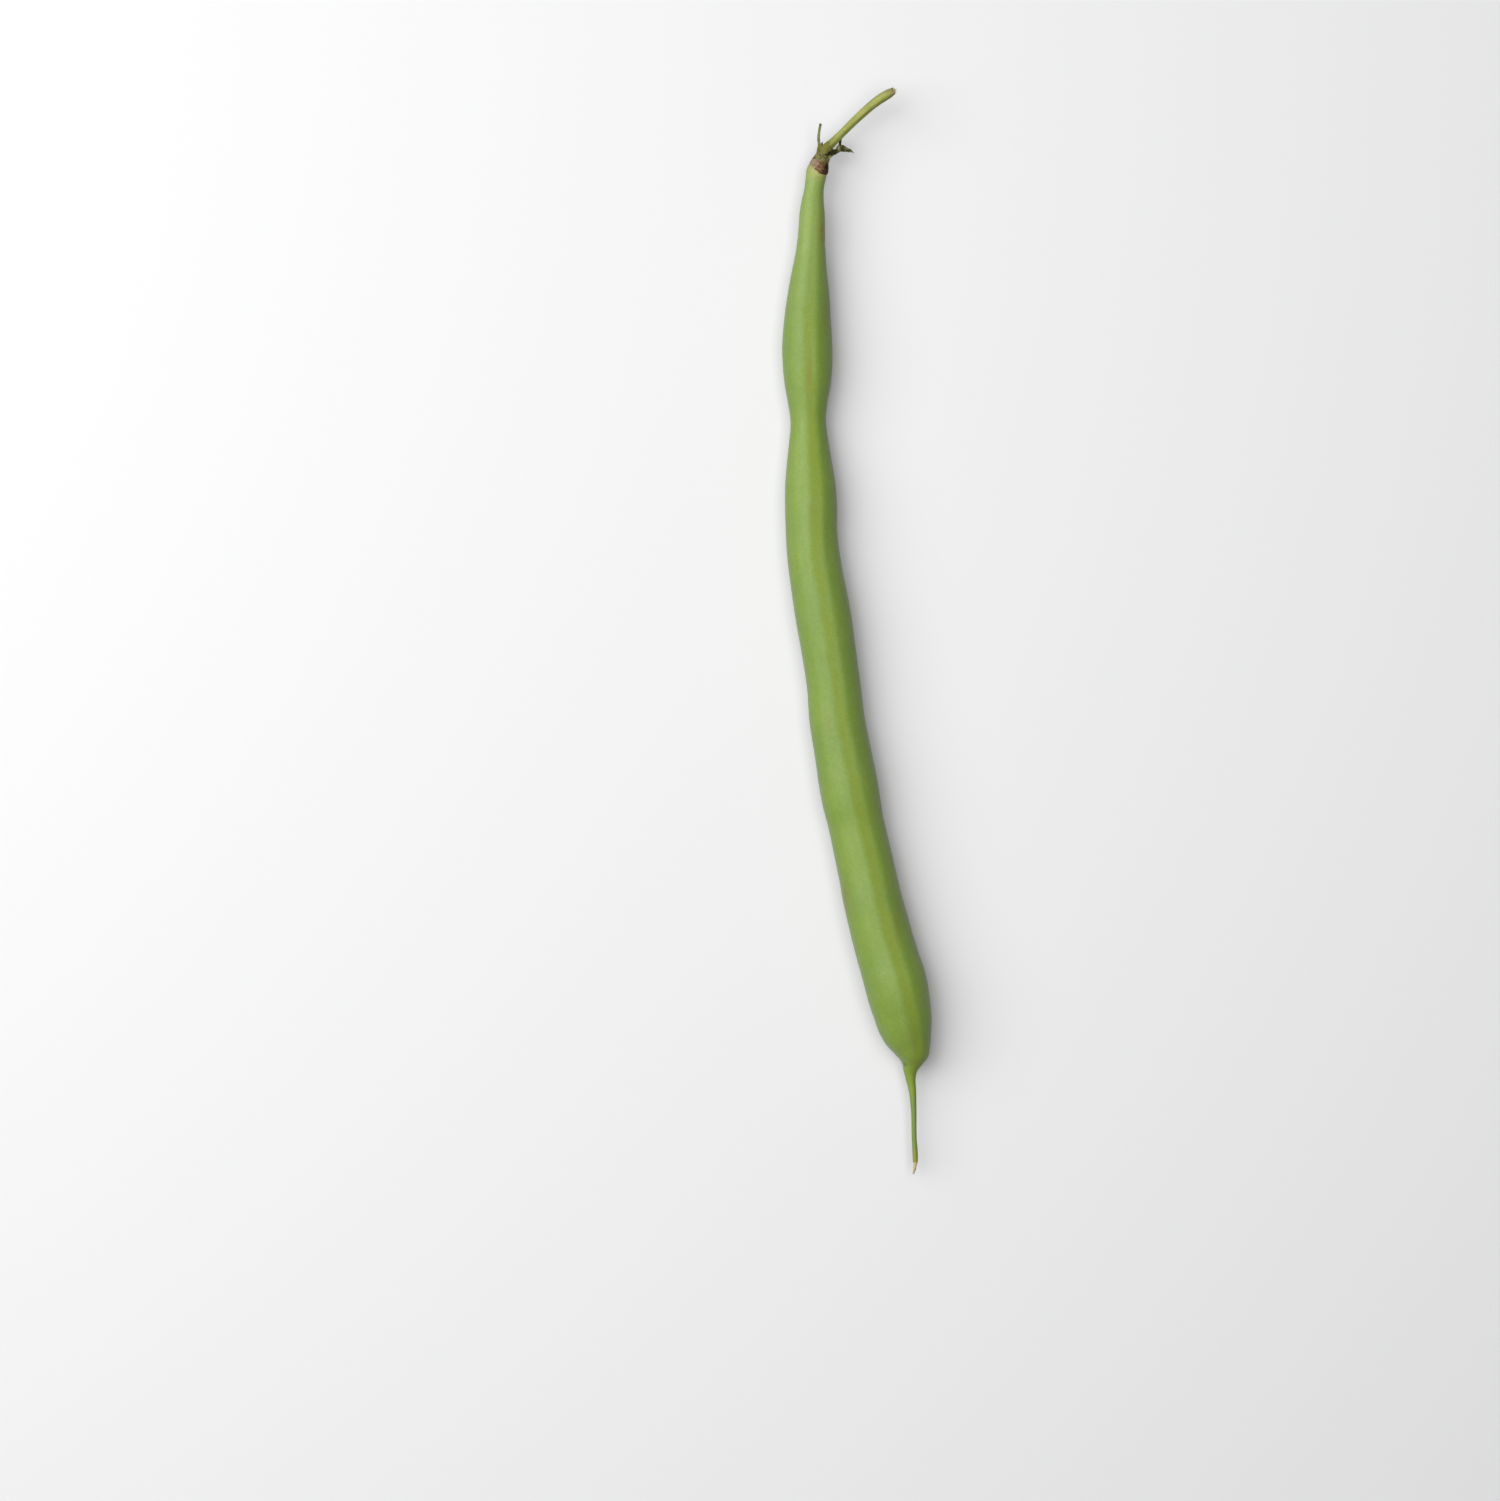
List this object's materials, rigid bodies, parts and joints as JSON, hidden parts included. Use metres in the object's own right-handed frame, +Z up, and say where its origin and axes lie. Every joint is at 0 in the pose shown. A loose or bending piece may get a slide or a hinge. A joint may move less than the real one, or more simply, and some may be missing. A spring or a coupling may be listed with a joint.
{
  "type": "green bean",
  "caption": "Slender green bean pod lying on its side, with a dry calyx and shrivelled bracts, a torn stalk at one end and a thin pointed beak at the other.",
  "frame": {"origin": "on the surface that the bean rests on, below the middle of its box", "axes": "+Y along the bean towards its stalk, +Z up, +X to the right of the bean as seen from above with the stalk away from the viewer"},
  "size_m": [0.0214, 0.1554, 0.008],
  "materials": {
    "pod": "satin",
    "dry_style": "matte",
    "calyx": "matte",
    "left_bract": "matte",
    "right_bract": "matte",
    "stalk": "satin",
    "torn_fibres": "matte"
  },
  "bodies": {
    "root": {"pod": "pod", "dry_style": "dry_style", "calyx": "calyx", "left_bract": "left_bract", "right_bract": "right_bract", "stalk": "stalk", "torn_fibres": "torn_fibres"}
  },
  "joints": []
}
